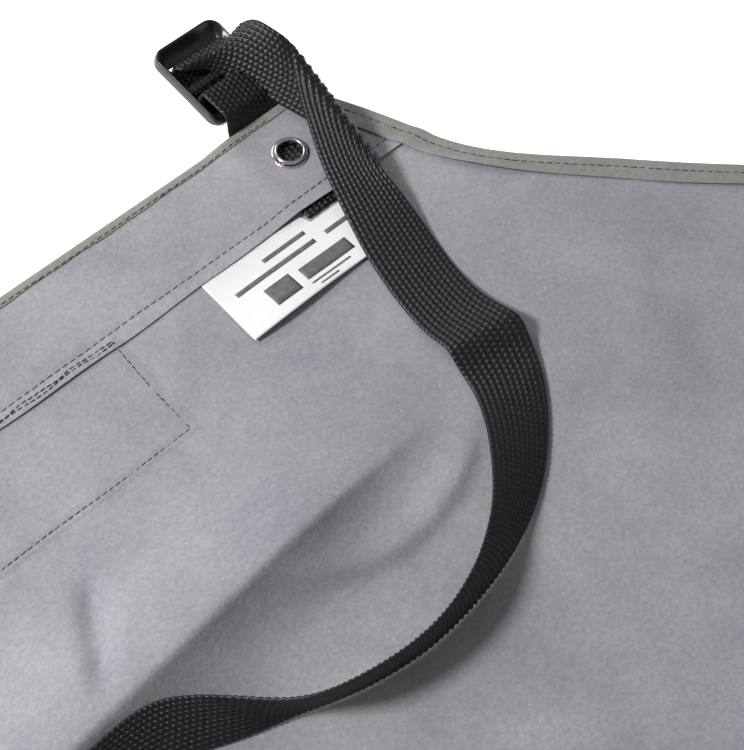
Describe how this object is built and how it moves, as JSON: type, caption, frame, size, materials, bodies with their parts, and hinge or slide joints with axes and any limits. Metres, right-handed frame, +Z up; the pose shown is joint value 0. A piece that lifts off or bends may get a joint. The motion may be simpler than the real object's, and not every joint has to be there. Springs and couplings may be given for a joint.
{
  "type": "liquid-proof bib apron",
  "caption": "Grey coated-cloth bib apron lying back side up, with a faced and hemmed bib, metal eyelets, a sewn label, and a black webbing neck strap on a slide adjuster.",
  "frame": {"origin": "middle of the whole part on the surface it lies on, the neck strap's free run left out", "axes": "+X along the bib's top edge towards the adjuster, +Y from the bottom hem towards the bib's top edge, +Z up out of the inside face of the cloth"},
  "size_m": [0.89, 1.1908, 0.0269],
  "materials": {
    "coated_cloth_back": "satin coated, fine mottled grain",
    "coated_cloth_front": "satin coated, greenish grey",
    "webbing": "matt woven polypropylene",
    "thread": "matt twisted thread",
    "label_satin": "smooth white satin",
    "nickel": "bright nickel plate",
    "adjuster_plastic": "glossy moulded black"
  },
  "bodies": {
    "apron": {"adjuster_tab": "webbing", "armhole_hem_left": "coated_cloth_front", "armhole_hem_right": "coated_cloth_front", "armhole_stitch_left": "thread", "armhole_stitch_right": "thread", "bib_eyelet_left": "nickel", "bib_eyelet_right": "nickel", "bib_eyelet_washer_left": "nickel", "bib_eyelet_washer_right": "nickel", "bottom_hem": "coated_cloth_front", "bottom_stitch": "thread", "facing_stitch": "thread", "front_patch": "coated_cloth_front", "label": "label_satin", "main_panel": "coated_cloth_back", "neck_strap_edge": "webbing", "neck_strap_flat": "webbing", "patch_stitch": "thread", "patch_top_stitch": "thread", "side_hem_left": "coated_cloth_front", "side_hem_right": "coated_cloth_front", "side_stitch_left": "thread", "side_stitch_right": "thread", "strap_anchor": "webbing", "top_edge_roll": "coated_cloth_front", "top_facing": "coated_cloth_back", "top_stitch": "thread", "waist_eyelet_left": "nickel", "waist_eyelet_right": "nickel", "waist_eyelet_washer_left": "nickel", "waist_eyelet_washer_right": "nickel", "waist_reinforcement_left": "coated_cloth_back", "waist_reinforcement_right": "coated_cloth_back", "waist_reinforcement_stitch_left": "thread", "waist_reinforcement_stitch_right": "thread"},
    "adjuster": {"tri_glide": "adjuster_plastic", "strap_turn": "webbing"}
  },
  "joints": [
    {"name": "adjuster_swing", "type": "hinge", "parent": "apron", "child": "adjuster", "pos_m": [0.13582, 0.55617, 0.00637], "axis": [0.9802, 0.1159, -0.1604], "range_deg": [-8, 35]}
  ]
}
